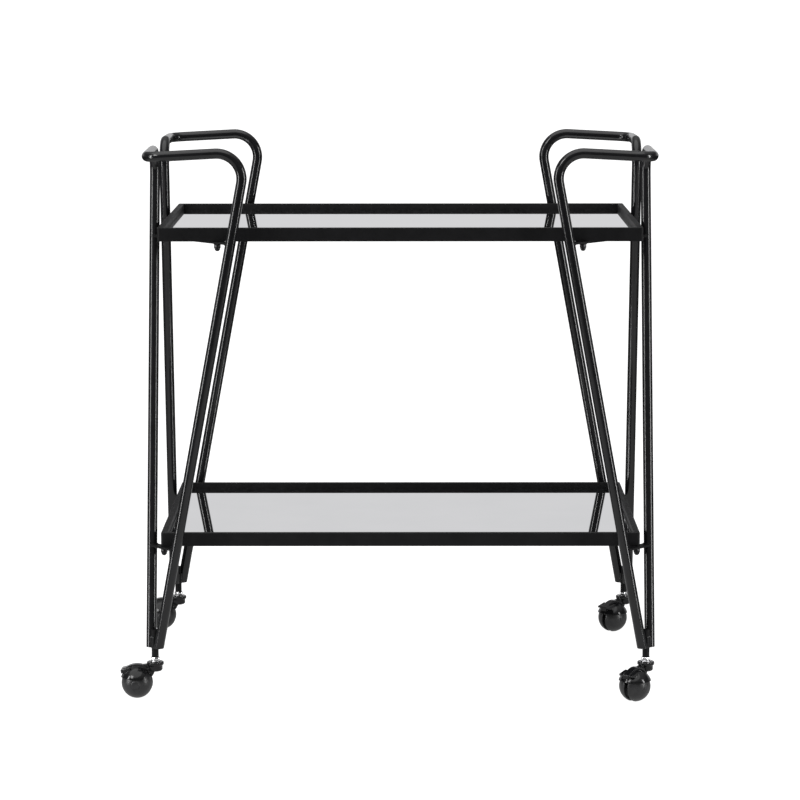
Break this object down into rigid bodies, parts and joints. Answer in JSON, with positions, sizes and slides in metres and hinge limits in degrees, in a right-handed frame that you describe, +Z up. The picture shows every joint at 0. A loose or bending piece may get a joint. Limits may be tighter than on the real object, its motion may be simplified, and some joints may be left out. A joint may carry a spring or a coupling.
{
  "type": "bar cart",
  "caption": "Rolling bar cart with slanted bent-tube corner legs, two mirrored trays in slim black rims and hooded ball casters.",
  "frame": {"origin": "on the floor, in the middle of the cart, below both trays' centres", "axes": "+Z up, +X to the cart's right along the trays' long side, -Y to the front"},
  "size_m": [0.8407, 0.5557, 0.8648],
  "materials": {
    "tube_black": "gloss black powder coat",
    "frame_black": "semi-gloss black powder coat",
    "mirror": "silvered glass",
    "board_black": "black-faced fibreboard",
    "fastener_black": "black zinc",
    "steel": "zinc-plated",
    "bright_steel": "bright nickel",
    "hood_black": "gloss black moulding",
    "ball_grey": "satin dark grey nylon"
  },
  "bodies": {
    "cart_frame": {"upper_tray_frame": "frame_black", "upper_mirror": "mirror", "upper_backing_board": "board_black", "upper_ledge_bars": "frame_black", "lower_tray_frame": "frame_black", "lower_mirror": "mirror", "lower_backing_board": "board_black", "lower_ledge_bars": "frame_black", "leg_tube_front_left": "tube_black", "caster_bush_front_left": "tube_black", "upper_strap_front_left": "frame_black", "lower_strap_front_left": "frame_black", "leg_tube_front_right": "tube_black", "caster_bush_front_right": "tube_black", "upper_strap_front_right": "frame_black", "lower_strap_front_right": "frame_black", "leg_tube_rear_left": "tube_black", "caster_bush_rear_left": "tube_black", "upper_strap_rear_left": "frame_black", "lower_strap_rear_left": "frame_black", "leg_tube_rear_right": "tube_black", "caster_bush_rear_right": "tube_black", "upper_strap_rear_right": "frame_black", "lower_strap_rear_right": "frame_black", "tray_studs": "steel", "tray_washers": "fastener_black", "cap_nuts": "fastener_black", "caster_stems": "steel", "stem_retaining_rings": "steel", "stem_washers": "bright_steel", "stem_nuts": "bright_steel"},
    "caster_front_left": {"caster_hood_front_left": "hood_black"},
    "ball_front_left": {"ball_half_a_front_left": "ball_grey", "ball_half_b_front_left": "ball_grey", "ball_axle_front_left": "steel"},
    "caster_front_right": {"caster_hood_front_right": "hood_black"},
    "ball_front_right": {"ball_half_a_front_right": "ball_grey", "ball_half_b_front_right": "ball_grey", "ball_axle_front_right": "steel"},
    "caster_rear_left": {"caster_hood_rear_left": "hood_black"},
    "ball_rear_left": {"ball_half_a_rear_left": "ball_grey", "ball_half_b_rear_left": "ball_grey", "ball_axle_rear_left": "steel"},
    "caster_rear_right": {"caster_hood_rear_right": "hood_black"},
    "ball_rear_right": {"ball_half_a_rear_right": "ball_grey", "ball_half_b_rear_right": "ball_grey", "ball_axle_rear_right": "steel"}
  },
  "joints": [
    {"name": "swivel_front_left", "type": "hinge", "parent": "cart_frame", "child": "caster_front_left", "pos_m": [-0.3859, -0.2402, 0.06], "axis": [0, 0, 1], "continuous": true},
    {"name": "roll_front_left", "type": "hinge", "parent": "caster_front_left", "child": "ball_front_left", "pos_m": [-0.41486, -0.23868, 0.0247], "axis": [0.0523, 0.9986, 0], "continuous": true},
    {"name": "swivel_front_right", "type": "hinge", "parent": "cart_frame", "child": "caster_front_right", "pos_m": [0.3859, -0.2402, 0.06], "axis": [0, 0, 1], "continuous": true},
    {"name": "roll_front_right", "type": "hinge", "parent": "caster_front_right", "child": "ball_front_right", "pos_m": [0.36726, -0.26242, 0.0247], "axis": [-0.766, 0.6428, 0], "continuous": true},
    {"name": "swivel_rear_left", "type": "hinge", "parent": "cart_frame", "child": "caster_rear_left", "pos_m": [-0.3859, 0.2402, 0.06], "axis": [0, 0, 1], "continuous": true},
    {"name": "roll_rear_left", "type": "hinge", "parent": "caster_rear_left", "child": "ball_rear_left", "pos_m": [-0.4149, 0.2402, 0.0247], "axis": [0, 1, 0], "continuous": true},
    {"name": "swivel_rear_right", "type": "hinge", "parent": "cart_frame", "child": "caster_rear_right", "pos_m": [0.3859, 0.2402, 0.06], "axis": [0, 0, 1], "continuous": true},
    {"name": "roll_rear_right", "type": "hinge", "parent": "caster_rear_right", "child": "ball_rear_right", "pos_m": [0.36575, 0.21934, 0.0247], "axis": [-0.7193, 0.6947, 0], "continuous": true}
  ]
}
